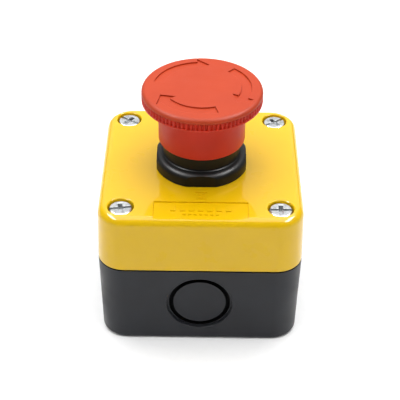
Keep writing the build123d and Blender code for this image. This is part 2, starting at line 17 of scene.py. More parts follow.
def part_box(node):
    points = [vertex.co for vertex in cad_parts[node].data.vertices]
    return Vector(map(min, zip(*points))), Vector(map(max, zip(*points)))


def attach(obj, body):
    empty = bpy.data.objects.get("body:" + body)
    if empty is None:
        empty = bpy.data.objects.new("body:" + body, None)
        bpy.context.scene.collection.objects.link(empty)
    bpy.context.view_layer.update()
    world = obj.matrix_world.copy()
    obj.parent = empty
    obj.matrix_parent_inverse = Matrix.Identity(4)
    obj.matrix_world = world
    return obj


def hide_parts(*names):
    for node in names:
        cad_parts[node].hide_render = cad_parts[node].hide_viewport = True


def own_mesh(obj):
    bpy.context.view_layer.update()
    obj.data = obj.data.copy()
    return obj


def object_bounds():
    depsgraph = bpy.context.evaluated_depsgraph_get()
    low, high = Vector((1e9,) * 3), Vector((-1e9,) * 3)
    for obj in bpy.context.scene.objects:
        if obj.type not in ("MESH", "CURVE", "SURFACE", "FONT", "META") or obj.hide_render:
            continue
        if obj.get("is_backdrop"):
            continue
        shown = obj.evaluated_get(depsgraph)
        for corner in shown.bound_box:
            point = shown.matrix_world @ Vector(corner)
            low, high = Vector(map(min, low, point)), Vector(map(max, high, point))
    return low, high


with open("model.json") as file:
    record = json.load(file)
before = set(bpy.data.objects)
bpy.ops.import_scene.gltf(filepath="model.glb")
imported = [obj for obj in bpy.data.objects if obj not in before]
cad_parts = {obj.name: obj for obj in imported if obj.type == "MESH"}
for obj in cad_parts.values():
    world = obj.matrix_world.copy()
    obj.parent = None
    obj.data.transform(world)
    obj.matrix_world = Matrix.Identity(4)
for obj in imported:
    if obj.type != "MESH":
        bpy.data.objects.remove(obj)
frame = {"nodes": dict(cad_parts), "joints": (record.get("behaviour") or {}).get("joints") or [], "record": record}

cad_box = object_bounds()
scene = bpy.context.scene
MM = 0.001
print("parts loaded:", len(frame["nodes"]), "height", round(cad_box[1].z * 1000, 1), "mm")

# %% [markdown]
# ## Hand tools
# Modelling by script is the same as modelling by hand: select, then act. An operator works on whatever is
# selected, so the helpers below select by place or by direction and then leave the rest to Blender.

# %% Selecting
def only(piece):
    """Selects one object and nothing else."""
    bpy.ops.object.select_all(action="DESELECT")
    piece.select_set(True)
    bpy.context.view_layer.objects.active = piece


def open_edit(piece):
    """Edit mode with nothing selected."""
    only(piece)
    bpy.ops.object.mode_set(mode="EDIT")
    bpy.ops.mesh.select_mode(type="VERT")
    bpy.ops.mesh.select_all(action="DESELECT")


def close_edit():
    bpy.ops.object.mode_set(mode="OBJECT")


def pick(kind, test):
    """In edit mode, selects exactly the verts, edges or faces that pass a test."""
    bpy.ops.mesh.select_all(action="DESELECT")
    bpy.ops.mesh.select_mode(type={"verts": "VERT", "edges": "EDGE", "faces": "FACE"}[kind])
    mesh = bmesh.from_edit_mesh(bpy.context.edit_object.data)
    chosen = [item for item in getattr(mesh, kind) if test(item)]
    for item in chosen:
        item.select_set(True)
    mesh.select_flush_mode()
    bmesh.update_edit_mesh(bpy.context.edit_object.data)
    return len(chosen)


# %% Starting and finishing a piece
def start_block(name, low, high):
    """A box from its lowest to its highest corner, in millimetres."""
    bpy.ops.object.select_all(action="DESELECT")
    middle = [(a + b) / 2 * MM for a, b in zip(low, high)]
    bpy.ops.mesh.primitive_cube_add(size=1, location=middle)
    piece = bpy.context.object
    piece.name = name
    piece.scale = [(b - a) * MM for a, b in zip(low, high)]
    bpy.ops.object.transform_apply(location=True, rotation=True, scale=True)
    return piece


def turned(name, outline, steps, sweep=360):
    """A chain of points (radius, height) in millimetres, drawn by extruding one vertex and spun about Z."""
    bpy.ops.object.select_all(action="DESELECT")
    radius, height = outline[0]
    bpy.ops.mesh.primitive_plane_add(size=MM, location=(radius * MM, 0, height * MM))
    piece = bpy.context.object
    piece.name = name
    bpy.ops.object.transform_apply(location=True)
    open_edit(piece)
    bpy.ops.mesh.select_all(action="SELECT")
    bpy.ops.mesh.merge(type="CENTER")
    for radius_to, height_to in outline[1:]:
        step = ((radius_to - radius) * MM, 0, (height_to - height) * MM)
        bpy.ops.mesh.extrude_vertices_move(TRANSFORM_OT_translate={"value": step})
        radius, height = radius_to, height_to
    bpy.ops.mesh.select_all(action="SELECT")
    bpy.ops.mesh.spin(steps=steps, angle=math.radians(-sweep), center=(0, 0, 0), axis=(0, 0, 1))
    bpy.ops.mesh.select_all(action="SELECT")
    bpy.ops.mesh.remove_doubles(threshold=0.002 * MM)
    if sweep < 360:
        bpy.ops.mesh.fill_holes(sides=len(outline))
    bpy.ops.mesh.normals_make_consistent(inside=False)
    close_edit()
    return piece


def arc(centre, radius, start, end, count):
    """Points along part of a circle, for a rounded stretch of an outline; angles in degrees."""
    angles = [math.radians(start + (end - start) * n / (count - 1)) for n in range(count)]
    return [(centre[0] + radius * math.cos(a), centre[1] + radius * math.sin(a)) for a in angles]


def apply_modifier(piece, kind, **settings):
    """Adds a modifier, sets it and applies it."""
    only(piece)
    modifier = piece.modifiers.new(kind.lower(), kind)
    for key, value in settings.items():
        setattr(modifier, key, value)
    bpy.ops.object.modifier_apply(modifier=modifier.name)


def combine(piece, tool, operation="DIFFERENCE"):
    """Cuts a tool away from a piece, or joins it on, and removes the tool."""
    apply_modifier(piece, "BOOLEAN", object=tool, operation=operation, solver="MANIFOLD")
    bpy.data.objects.remove(tool)


def smooth(piece, angle=35):
    """Smooth shading that stays flat on flat faces and sharp at real corners."""
    only(piece)
    bpy.ops.object.shade_smooth_by_angle(angle=math.radians(angle))
    apply_modifier(piece, "WEIGHTED_NORMAL", keep_sharp=True, mode="FACE_AREA_WITH_ANGLE")


def hand_over(piece, node, body, finish):
    """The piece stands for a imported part, moves with its body and takes its finish."""
    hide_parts(node)
    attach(piece, body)
    piece.data.materials.clear()
    piece.data.materials.append(finish)
    size = [round(v * 1000, 1) for v in piece.dimensions]
    print(piece.name, "replaces", node, size, "mm,", len(piece.data.polygons), "faces")


# %% [markdown]
# ## Camera
# The box is seen from the front and well above, so both its lid and its front wall show. A long lens keeps
# the walls nearly parallel, and the tiny roll is the one a hand-held camera has.

# %% Set the camera
LOOK_AT = Vector((-0.00029, 0.0, 0.03443))
CAMERA_DISTANCE = 0.4113
CAMERA_HEIGHT_ANGLE = math.radians(36.79)
CAMERA_LENS = 105.8
CAMERA_ROLL = 0.0132
camera_data = bpy.data.cameras.new("product_camera")
camera_data.lens = CAMERA_LENS
camera_data.clip_start = 0.01
camera = bpy.data.objects.new("product_camera", camera_data)
scene.collection.objects.link(camera)
back = Vector((0, -math.cos(CAMERA_HEIGHT_ANGLE), math.sin(CAMERA_HEIGHT_ANGLE)))
camera.location = LOOK_AT + back * CAMERA_DISTANCE
camera.rotation_mode = "QUATERNION"
camera.rotation_quaternion = (-back).to_track_quat("-Z", "Y")
camera.rotation_mode = "XYZ"
camera.rotation_euler.rotate_axis("Z", CAMERA_ROLL)
scene.camera = camera
scene.view_settings.view_transform = "Standard"
print("camera at", [round(v * 1000) for v in camera.location], "mm")

# %% [markdown]
# ## Floor and light
# Product shots of glossy mouldings use soft boxes: a wide one overhead for an even lid, one behind that the
# lid mirrors, and a long strip above each side that draws the white streak on a rounded front corner. The
# strips only add gloss, so they leave the even light of the others alone.

# %% Build the stage
def soft_box(name, place, along, size, power):
    """A rectangular area light aimed at the object's middle, its second side running along a direction."""
    data = bpy.data.lights.new(name, "AREA")
    data.shape = "RECTANGLE"
    data.size, data.size_y = size
    data.energy = power
    light = bpy.data.objects.new(name, data)
    light.location = place
    back_way = (Vector(place) - LOOK_AT).normalized()
    long_way = (Vector(along) - Vector(along).project(back_way)).normalized()
    turn = Matrix((long_way.cross(back_way), long_way, back_way)).transposed()
    light.rotation_euler = turn.to_euler()
    scene.collection.objects.link(light)
    return light


soft_box("overhead_box", (0.0, 0.05, 0.75), (0, 1, 0), (1.1, 0.85), 11.0)
soft_box("back_box", (0.0, 0.85, 0.62), (0, 0, 1), (1.6, 0.8), 4.6)
for name, side in (("left_strip", -1), ("right_strip", 1)):
    strip = soft_box(name, (side * 0.42, -0.06, 0.62), (0, 1, 0), (0.18, 0.5), 9.0)
    strip.visible_diffuse = False

world = bpy.data.worlds.new("pale_room")
world.use_nodes = True
world.node_tree.nodes["Background"].inputs["Color"].default_value = (1.0, 1.0, 1.0, 1.0)
world.node_tree.nodes["Background"].inputs["Strength"].default_value = 0.16
scene.world = world

# %% [markdown]
# ## Finishes
# Each finish is a Principled shader whose colour, roughness and surface relief are fed by noise in Object
# coordinates. The noise is measured in millimetres, so a moulded grain is as fine as it is in the hand.

# %% Shader helpers
def paint(red, green, blue):
    """A display colour, 0 to 255, as the linear colour that a shader needs."""
    def linear(value):
        share = value / 255
        return share / 12.92 if share <= 0.04045 else ((share + 0.055) / 1.055) ** 2.4
    return (linear(red), linear(green), linear(blue), 1.0)


def new_finish(name, roughness, **sockets):
    """A Principled material with its even values set on the shader itself."""
    material = bpy.data.materials.new(name)
    material.use_nodes = True
    shader = material.node_tree.nodes["Principled BSDF"]
    shader.inputs["Roughness"].default_value = roughness
    for socket, value in sockets.items():
        shader.inputs[socket.replace("_", " ")].default_value = value
    return material, shader


def add_node(material, kind, **inputs):
    """A node, with the sockets named in inputs set to a value or linked to another node's socket."""
    node = material.node_tree.nodes.new(kind)
    for socket, value in inputs.items():
        target = node.inputs[socket.replace("_", " ")]
        if isinstance(value, bpy.types.NodeSocket):
            material.node_tree.links.new(value, target)
        else:
            target.default_value = value
    return node


def noise(material, size_mm, detail=2.0, stretch=(1, 1, 1)):
    """Noise whose blobs are about size_mm across; stretch lengthens them along an axis."""
    place = add_node(material, "ShaderNodeTexCoord").outputs["Object"]
    scale = [1 / (size_mm * MM * s) for s in stretch]
    scaled = add_node(material, "ShaderNodeMapping", Vector=place, Scale=scale).outputs["Vector"]
    pattern = add_node(material, "ShaderNodeTexNoise", Vector=scaled, Scale=1.0, Detail=detail)
    return pattern.outputs["Fac"]


def between(material, factor, low, high, from_low=0.3, from_high=0.7):
    """A number that runs from low to high as the factor does."""
    ramp = add_node(material, "ShaderNodeMapRange", Value=factor, From_Min=from_low, From_Max=from_high,
                    To_Min=low, To_Max=high)
    return ramp.outputs["Result"]


def blend_colors(material, factor, first, second):
    """A colour between two, as the factor says."""
    mix = material.node_tree.nodes.new("ShaderNodeMix")
    mix.data_type = "RGBA"
    for socket, value in zip((mix.inputs[0], mix.inputs[6], mix.inputs[7]), (factor, first, second)):
        if isinstance(value, bpy.types.NodeSocket):
            material.node_tree.links.new(value, socket)
        else:
            socket.default_value = value
    return mix.outputs[2]


def connect(material, output, socket):
    material.node_tree.links.new(output, socket)


def relief(material, shader, height, depth_mm, strength=1.0, under=None):
    """Raises and sinks the surface by a height pattern, on top of another relief if one is given."""
    bump = add_node(material, "ShaderNodeBump", Height=height, Distance=depth_mm * MM, Strength=strength)
    if under is not None:
        connect(material, under, bump.inputs["Normal"])
    connect(material, bump.outputs["Normal"], shader.inputs["Normal"])
    return bump.outputs["Normal"]


# %% [markdown]
# ### Moulded plastic
# A moulding copies its tool: a fine spark-eroded grain all over, a very slow unevenness from shrinkage, and
# faint differences of gloss where it has been handled. All the plastics share these and differ in amounts.

# %% Mould the plastics
def moulded(name, light, dark, roughness, grain_mm, grain_depth_mm,
            gloss_spread=0.08, wave_depth_mm=0.02, **sockets):
    """Plastic with a fine grain, a slow shrinkage wave, small specks and uneven gloss."""
    material, shader = new_finish(name, roughness, **sockets)
    cloud = between(material, noise(material, 14, 3), 0.0, 1.0)
    speck = between(material, noise(material, 0.25, 1), 0.0, 0.35, 0.62, 0.75)
    tone = blend_colors(material, cloud, light, dark)
    connect(material, blend_colors(material, speck, tone, dark), shader.inputs["Base Color"])
    handled = between(material, noise(material, 9, 4), roughness - gloss_spread, roughness + gloss_spread)
    connect(material, handled, shader.inputs["Roughness"])
    wave = relief(material, shader, noise(material, 11, 1), wave_depth_mm)
    relief(material, shader, noise(material, grain_mm, 2), grain_depth_mm, under=wave)
    return material


yellow = moulded("yellow_lid_plastic", paint(226, 183, 4), paint(223, 180, 3), 0.3, 0.16, 0.004, 0.04, 0.004,
                 Specular_IOR_Level=0.1, Coat_Weight=0.55, Coat_Roughness=0.04)
dark_grey = moulded("dark_grey_box_plastic", paint(31, 33, 39), paint(27, 28, 33), 0.4, 0.2, 0.008,
                    Specular_IOR_Level=0.28)
red = moulded("red_head_plastic", paint(203, 48, 22), paint(195, 43, 19), 0.42, 0.14, 0.006,
              Specular_IOR_Level=0.2)
cap_red = moulded("red_cap_plastic", paint(182, 60, 20), paint(177, 56, 18), 0.5, 0.14, 0.006,
                  Specular_IOR_Level=0.2)
black = moulded("black_bezel_plastic", paint(20, 19, 20), paint(16, 16, 16), 0.38, 0.16, 0.006,
                Specular_IOR_Level=0.2)
# Ring-groove finish: the near-black colour is painted shade for the groove's depth; the high roughness is its matt
# spark-eroded finish.
painted_shade_groove = moulded("knock_out_groove_plastic", paint(14, 14, 16), paint(9, 9, 10), 0.8, 0.3, 0.02,
                      Specular_IOR_Level=0.05)
pale_grey = moulded("pale_grey_block_plastic", paint(158, 160, 162), paint(146, 148, 151), 0.45, 0.2, 0.006)
white = moulded("white_sliding_plastic", paint(232, 231, 226), paint(222, 221, 214), 0.38, 0.18, 0.004)
slider_red = moulded("red_slider_plastic", paint(190, 42, 36), paint(178, 36, 30), 0.4, 0.18, 0.005)
print("plastics:", [m.name for m in bpy.data.materials if "plastic" in m.name])

# %% [markdown]
# ### Rubber
# Seals are matt, a little dusty, and show the mottling of cured rubber.

# %% Cure the rubber
rubber, rubber_shader = new_finish("seal_rubber", 0.75)
dust = between(rubber, noise(rubber, 1.2, 5), 0.0, 1.0, 0.45, 0.8)
dusty = blend_colors(rubber, dust, paint(30, 30, 31), paint(62, 61, 60))
connect(rubber, dusty, rubber_shader.inputs["Base Color"])
connect(rubber, between(rubber, dust, 0.68, 0.86, 0, 1), rubber_shader.inputs["Roughness"])
relief(rubber, rubber_shader, noise(rubber, 0.12, 3), 0.01)
print("made", rubber.name)

# %% [markdown]
# ### Metals
# Plated screws are bright with a slight bluish haze, tiny pits and scuffs from the driver. Spring wire is
# darker, with fine lines drawn along it. Contact strips are rolled copper alloy with soft tarnish, and the
# tips are polished silver alloy.

# %% Plate, draw and roll the metals
def metal(name, clean, stained, roughness, rub_mm, rub_stretch, rub_depth_mm, stain_mm=1.5):
    """Metal with stains in its colour, uneven polish and fine rub marks."""
    material, shader = new_finish(name, roughness, Metallic=1.0)
    stain = between(material, noise(material, stain_mm, 4), 0.0, 1.0, 0.4, 0.75)
    connect(material, blend_colors(material, stain, clean, stained), shader.inputs["Base Color"])
    rub = noise(material, rub_mm, 3, rub_stretch)
    connect(material, between(material, rub, roughness - 0.07, roughness + 0.12), shader.inputs["Roughness"])
    relief(material, shader, rub, rub_depth_mm)
    return material


plated = metal("plated_screw_steel", paint(192, 195, 197), paint(150, 154, 156), 0.24, 0.08, (6, 1, 1), 0.003)
wire = metal("drawn_spring_wire", paint(150, 151, 154), paint(112, 110, 108), 0.3, 0.05, (8, 8, 1), 0.003,
             stain_mm=0.8)
copper = metal("rolled_contact_strip", paint(206, 150, 96), paint(168, 112, 70), 0.28, 0.06, (1, 10, 1),
               0.002)
silver = metal("silver_contact_tip", paint(230, 228, 222), paint(196, 192, 184), 0.2, 0.05, (1, 1, 1), 0.002,
               stain_mm=0.6)
print("metals:", plated.name, wire.name, copper.name, silver.name)

# %% [markdown]
# ### Paper floor
# The object stands on plain pale card with a little light coming through it, as on a light table, so the
# floor gets a soft fibre pattern and no shine.

# %% Lay the floor
floor_card, floor_shader = new_finish("pale_card", 0.9, Emission_Color=(1, 1, 1, 1), Emission_Strength=0.06)
fibre = between(floor_card, noise(floor_card, 3, 4), 0.0, 1.0)
connect(floor_card, blend_colors(floor_card, fibre, paint(250, 250, 250), paint(246, 246, 246)),
        floor_shader.inputs["Base Color"])
bpy.ops.object.select_all(action="DESELECT")
bpy.ops.mesh.primitive_plane_add(size=6.0, location=(0, 0, -0.00005))
floor = bpy.context.object
floor.name = "floor"
floor.data.materials.append(floor_card)
floor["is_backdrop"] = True
print("floor laid")

# %% [markdown]
# ## The yellow lid
# The lid is a shallow drafted tray with a wide soft edge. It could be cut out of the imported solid, but a cube
# with bevelled corners gives cleaner rounds: the upright edges are bevelled first, then the top is drawn in a
# little for the mould's draft, and last the top edge is rounded. Insets on the underside then mark out the
# wall and its sealing groove, and two pushes make the groove and the hollow.

# %% Mould the lid's tray
CORNER_R = 9.0
FRONT_EDGE_R = 3.0
SPLIT_EDGE_R = 0.4
LID_T = 3.0
LID_RINGS = (0.7, 1.4, 0.9)     # outer strip, sealing groove and inner strip of the wall
GROOVE_D = 1.8
lid_low, lid_high = [v * 1000 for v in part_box("front_cover")]
SPLIT_Z, LID_TOP = round(lid_low.z, 2), round(lid_high.z, 2)
BOX_HALF = lid_high.x
LID_TOP_SHARE = 67.2 / 68.0


def from_wall(place):
    """Distance inwards, in millimetres, from the rounded square outline at the split."""
    straight = BOX_HALF - CORNER_R
    x, y = abs(place.x) / MM - straight, abs(place.y) / MM - straight
    return CORNER_R - (math.hypot(max(x, 0), max(y, 0)) + min(max(x, y), 0))


def push(step):
    """Extrudes the selected faces straight up or down, in millimetres."""
    bpy.ops.mesh.extrude_region_move(TRANSFORM_OT_translate={"value": (0, 0, step * MM)})


lid = start_block("lid_shell", (-BOX_HALF, -BOX_HALF, SPLIT_Z), (BOX_HALF, BOX_HALF, LID_TOP))
open_edit(lid)
pick("edges", lambda e: abs(e.verts[0].co.z - e.verts[1].co.z) > 5 * MM)
bpy.ops.mesh.bevel(offset=CORNER_R * MM, segments=16)
pick("verts", lambda v: v.co.z > (LID_TOP - 0.1) * MM)
bpy.ops.transform.resize(value=(LID_TOP_SHARE, LID_TOP_SHARE, 1), center_override=(0, 0, LID_TOP * MM))
pick("edges", lambda e: all(v.co.z > (LID_TOP - 0.1) * MM for v in e.verts))
bpy.ops.mesh.bevel(offset=FRONT_EDGE_R * MM, segments=10)
pick("edges", lambda e: all(v.co.z < (SPLIT_Z + 0.1) * MM for v in e.verts))
bpy.ops.mesh.bevel(offset=SPLIT_EDGE_R * MM, segments=4)
pick("faces", lambda f: f.normal.z < -0.99 and f.calc_area() > 1e-3)
for strip_width in LID_RINGS:
    bpy.ops.mesh.inset(thickness=strip_width * MM)
push(LID_TOP - LID_T - SPLIT_Z)
rim = pick("faces", lambda f: f.normal.z < -0.9 and f.calc_center_median().z < (SPLIT_Z + 0.1) * MM
           and 1.1 < from_wall(f.calc_center_median()) < 2.5)
push(GROOVE_D)
close_edit()
print("tray", [round(v * 1000, 1) for v in lid.dimensions], "mm,", rim, "faces round the groove")

# %% [markdown]
# The screw places, the operator's hole and the small markings are cut with tools, as a mould maker cuts them
# in steel. The tool for a screw place flares at its mouth, which leaves the small lead-in that a moulded hole
# has. The sunken panel carries only two plain rows of ribs, and the nested squares are the usual sign of
# double insulation.

# %% Cut the screw places, the hole and the markings
SCREW_AT = 26.0
LID_BOSS_R, SHANK_HOLE_R = 5.5, 1.95
WELL_R, WELL_FLOOR, WELL_LEAD = 4.25, 47.4, 0.5
OPERATOR_HOLE_R = 11.2
KEY_HALF, KEY_OUT, KEY_IN = 1.7, 12.3, 10.3
PANEL_HALF, PANEL_FRONT, PANEL_BACK, PANEL_D = 15.4, -40, -23.2, 0.4
RIB_ROWS = ((-26.2, 1.8, 3.2, 3.0), (-29.2, 1.0, 1.2, 1.8))     # place, width, length, step
RIB_BELOW = 0.15        # from the lid's top down to the top of a rib
SYMBOL_AT, SYMBOL_D, SYMBOL_LINE = -19.9, 0.2, 0.4
SYMBOL_SQUARES = ((4.2, 4.0), (2.2, 2.0))


def at_place(piece, x=0.0, y=0.0, turn=0.0):
    """Turns a piece about Z and moves it sideways, in millimetres and degrees, and applies both."""
    only(piece)
    piece.rotation_euler = (0, 0, math.radians(turn))
    piece.location = (x * MM, y * MM, 0)
    bpy.ops.object.transform_apply(location=True, rotation=True, scale=False)
    return piece


def post(name, radius, low, high, x=0.0, y=0.0, sides=48):
    """A plain round tool or boss."""
    return at_place(turned(name, [(0, low), (radius, low), (radius, high), (0, high)], sides), x, y)


def key_block(name, low, high):
    """The place of the key that stops the operator from turning."""
    return start_block(name, (-KEY_HALF, -KEY_OUT, low), (KEY_HALF, -KEY_IN, high))


CORNERS = [(x, y) for x in (-SCREW_AT, SCREW_AT) for y in (-SCREW_AT, SCREW_AT)]
for x, y in CORNERS:
    combine(lid, post("lid_boss", LID_BOSS_R, SPLIT_Z, LID_TOP - 2, x, y), "UNION")
for x, y in CORNERS:
    flare = arc((WELL_R + WELL_LEAD, LID_TOP - WELL_LEAD), WELL_LEAD, 180, 90, 5)
    well = [(0, WELL_FLOOR), (WELL_R, WELL_FLOOR)] + flare
    well += [(WELL_R + WELL_LEAD, LID_TOP + 2), (0, LID_TOP + 2)]
    combine(lid, at_place(turned("screw_well", well, 64), x, y))
    combine(lid, post("screw_hole", SHANK_HOLE_R, SPLIT_Z - 1, 48, x, y, 32))
combine(lid, post("operator_hole", OPERATOR_HOLE_R, LID_TOP - 4, LID_TOP + 1, sides=96))
combine(lid, key_block("key_notch", LID_TOP - 4, LID_TOP + 1))
combine(lid, start_block("name_panel", (-PANEL_HALF, PANEL_FRONT, LID_TOP - PANEL_D),
                         (PANEL_HALF, PANEL_BACK, LID_TOP + 1)))
for row_y, width, length, step in RIB_ROWS:
    for x in [step * n for n in range(-3, 4)]:
        low = (x - width / 2, row_y - length / 2, LID_TOP - 0.8)
        high = (x + width / 2, row_y + length / 2, LID_TOP - RIB_BELOW)
        combine(lid, start_block("panel_rib", low, high), "UNION")
for outer_x, outer_y in SYMBOL_SQUARES:
    square = start_block("square", (-outer_x / 2, SYMBOL_AT - outer_y / 2, LID_TOP - SYMBOL_D),
                         (outer_x / 2, SYMBOL_AT + outer_y / 2, LID_TOP + 1))
    core_x, core_y = outer_x / 2 - SYMBOL_LINE, outer_y / 2 - SYMBOL_LINE
    core = start_block("square_core", (-core_x, SYMBOL_AT - core_y, LID_TOP - 1),
                       (core_x, SYMBOL_AT + core_y, LID_TOP + 2))
    combine(square, core)
    combine(lid, square)
smooth(lid)
hand_over(lid, "front_cover", "enclosure", yellow)

# %% [markdown]
# ## The dark grey back box
# The box is made as the lid was, upside down. Its rim carries a tongue that fits the lid's groove, and the
# outermost strip sits a little lower, which draws the thin dark line between the halves. Each end wall has a
# knock-out: a round recess with a deep ring groove, so that only a thin web holds the middle disc. The
# groove keeps the rough finish of a spark-eroded slot in the mould, so it is matt; its near-black colour is
# painted shade for the depth of the groove.

# %% Mould the box
BACK_SHARE = 66.7 / 68.0
FLOOR_T = 3.0
BACK_EDGE_R = 1.2
PARTING_IN, PARTING_H, PARTING_EDGE_R = 0.35, 0.35, 0.15
BOX_RINGS = (0.7, 1.2, 0.9)     # outer strip, tongue and inner strip of the wall
TONGUE_H = 1.0
box = start_block("box_shell", (-BOX_HALF, -BOX_HALF, 0), (BOX_HALF, BOX_HALF, SPLIT_Z - PARTING_H))
open_edit(box)
pick("edges", lambda e: abs(e.verts[0].co.z - e.verts[1].co.z) > 5 * MM)
bpy.ops.mesh.bevel(offset=CORNER_R * MM, segments=16)
pick("verts", lambda v: v.co.z < 0.1 * MM)
bpy.ops.transform.resize(value=(BACK_SHARE, BACK_SHARE, 1), center_override=(0, 0, 0))
pick("edges", lambda e: all(v.co.z < 0.1 * MM for v in e.verts))
bpy.ops.mesh.bevel(offset=BACK_EDGE_R * MM, segments=6)
pick("edges", lambda e: all(v.co.z > (SPLIT_Z - 0.4) * MM for v in e.verts))
bpy.ops.mesh.bevel(offset=PARTING_EDGE_R * MM, segments=2)
pick("faces", lambda f: f.normal.z > 0.99 and f.calc_area() > 1e-3)
bpy.ops.mesh.inset(thickness=PARTING_IN * MM)
push(PARTING_H)
for strip_width in BOX_RINGS:
    bpy.ops.mesh.inset(thickness=strip_width * MM)
push(FLOOR_T - SPLIT_Z)
rim = pick("faces", lambda f: f.normal.z > 0.9 and f.calc_center_median().z > (SPLIT_Z - 0.1) * MM
           and 1.2 < from_wall(f.calc_center_median()) < 2.4)
push(TONGUE_H)
close_edit()
print("box", [round(v * 1000, 1) for v in box.dimensions], "mm,", rim, "faces round the tongue")

# %% Add the bosses, the holes and the knock-outs
BOX_BOSS_R, PILOT_R, PILOT_LOW = 5.2, 1.85, 8
BLOCK_LOW = 6               # underside of the contact block
BLOCK_SCREW_X, BLOCK_BOSS_R, BLOCK_PILOT_R, BLOCK_PILOT_LOW = 11, 3.2, 1.35, 2
BLOCK_REST_AT, BLOCK_REST_X, BLOCK_REST_Y = 15, 5, 1
FIXING_AT, FIXING_R = 27, 2.15
for x, y in CORNERS:
    combine(box, post("screw_boss", BOX_BOSS_R, FLOOR_T - 1, SPLIT_Z, x, y), "UNION")
    combine(box, post("screw_hole", PILOT_R, PILOT_LOW, SPLIT_Z + 1, x, y, 32))
for x in (-BLOCK_SCREW_X, BLOCK_SCREW_X):
    combine(box, post("block_boss", BLOCK_BOSS_R, FLOOR_T - 1, BLOCK_LOW, x), "UNION")
    combine(box, post("block_hole", BLOCK_PILOT_R, BLOCK_PILOT_LOW, BLOCK_LOW + 1, x, sides=24))
for y in (-BLOCK_REST_AT, BLOCK_REST_AT):
    low, high = (-BLOCK_REST_X, y - BLOCK_REST_Y, FLOOR_T - 1), (BLOCK_REST_X, y + BLOCK_REST_Y, BLOCK_LOW)
    combine(box, start_block("block_rest", low, high), "UNION")
for y in (-FIXING_AT, FIXING_AT):
    combine(box, post("wall_hole", FIXING_R, -1, FLOOR_T + 1, 0, y, 32))

ENTRY_Z, ENTRY_R, ENTRY_D, ENTRY_LEAD = 15.9, 10.95, 1.0, 0.25
DISC_R, DISC_GROOVE_R, DISC_GROOVE_D = 8.85, 10.3, 2.4
WALL_LEAN = math.atan((BOX_HALF - BOX_HALF * BACK_SHARE) / SPLIT_Z)
WALL_Y = BOX_HALF * BACK_SHARE + math.tan(WALL_LEAN) * ENTRY_Z


def knock_out_tool(side):
    """The recess and ring groove as one turned tool, laid square to the leaning wall."""
    mouth_r = ENTRY_R + ENTRY_LEAD
    outline = [(0, -ENTRY_D), (DISC_R, -ENTRY_D), (DISC_R, -DISC_GROOVE_D), (DISC_GROOVE_R, -DISC_GROOVE_D)]
    outline += [(DISC_GROOVE_R, -ENTRY_D), (ENTRY_R, -ENTRY_D)]
    outline += arc((mouth_r, -ENTRY_LEAD), ENTRY_LEAD, 180, 90, 4)
    tool = turned("knock_out", outline + [(mouth_r, 2), (0, 2)], 96)
    only(tool)
    tool.rotation_euler = (math.radians(90) + WALL_LEAN, 0, 0 if side < 0 else math.pi)
    tool.location = (0, side * WALL_Y * MM, ENTRY_Z * MM)
    bpy.ops.object.transform_apply(location=True, rotation=True, scale=False)
    return tool


for side in (-1, 1):
    combine(box, knock_out_tool(side))
smooth(box)
hand_over(box, "rear_box", "enclosure", dark_grey)


def in_ring_groove(face):
    """Between the middle disc and the recess's floor, and below both."""
    middle = face.calc_center_median() / MM
    from_axis = math.hypot(middle.x, middle.z - ENTRY_Z)
    sunk = WALL_Y - abs(middle.y)
    return DISC_R - 0.25 < from_axis < DISC_GROOVE_R + 0.2 and ENTRY_D + 0.1 < sunk < DISC_GROOVE_D + 0.3


# The ring grooves' faces take the near-black finish, which is painted shade for their depth.
box.data.materials.append(painted_shade_groove)
open_edit(box)
groove = pick("faces", in_ring_groove)
box.active_material_index = 1
bpy.ops.object.material_slot_assign()
close_edit()
print("matt ring grooves:", groove, "faces")

# %% [markdown]
# ## The black ring
# The ring clamps the operator to the lid. It is turned with a rounded shoulder, and then four flats are
# planed off it with bisect, which cuts along a plane and closes the wound in one go.

# %% Turn the ring and plane its flats
BEZEL_R, BEZEL_FLAT, SHOULDER_R, SHOULDER_TOP = 15.9, 15.05, 2.2, 55.8
COLLAR_R, COLLAR_IN, COLLAR_TOP, COLLAR_EDGE_R = 13.0, 11.05, 61.0, 0.3
SEAL_IN, SEAL_OUT, SEAL_TOP = 11.8, 14.2, 51.9
FOOT_R = 0.2
shoulder = arc((BEZEL_R - SHOULDER_R, SHOULDER_TOP - SHOULDER_R), SHOULDER_R, 0, 90, 9)
collar = [(COLLAR_R + 0.25, SHOULDER_TOP), (COLLAR_R, SHOULDER_TOP + 0.25)]
collar += arc((COLLAR_R - COLLAR_EDGE_R, COLLAR_TOP - COLLAR_EDGE_R), COLLAR_EDGE_R, 0, 90, 4)
under = [(COLLAR_IN, COLLAR_TOP), (COLLAR_IN, LID_TOP), (SEAL_IN, LID_TOP), (SEAL_IN, SEAL_TOP)]
under += [(SEAL_OUT, SEAL_TOP), (SEAL_OUT, LID_TOP)]
foot = arc((BEZEL_R - FOOT_R, LID_TOP + FOOT_R), FOOT_R, -90, 0, 3)
bezel = turned("bezel", under + foot + shoulder + collar + [(COLLAR_IN, COLLAR_TOP)], 144)
open_edit(bezel)
for turn in range(4):
    way = Vector((math.cos(turn * math.pi / 2), math.sin(turn * math.pi / 2), 0))
    bpy.ops.mesh.select_all(action="SELECT")
    bpy.ops.mesh.bisect(plane_co=way * BEZEL_FLAT * MM, plane_no=way, use_fill=True, clear_outer=True)
close_edit()
combine(bezel, key_block("key_way", LID_TOP - 1, COLLAR_TOP + 1))
smooth(bezel, 25)
hand_over(bezel, "bezel_ring", "enclosure", black)

# %% [markdown]
# ## The red head
# The head is two mouldings: a skirt with a fluted grip band, and a domed cap with three sunken arrows. The
# flutes are made by scaling: the skirt is spun with six steps for each flute, and in the grip band four of
# the six are drawn inwards, which leaves ridges between rounded grooves and a lip below them.

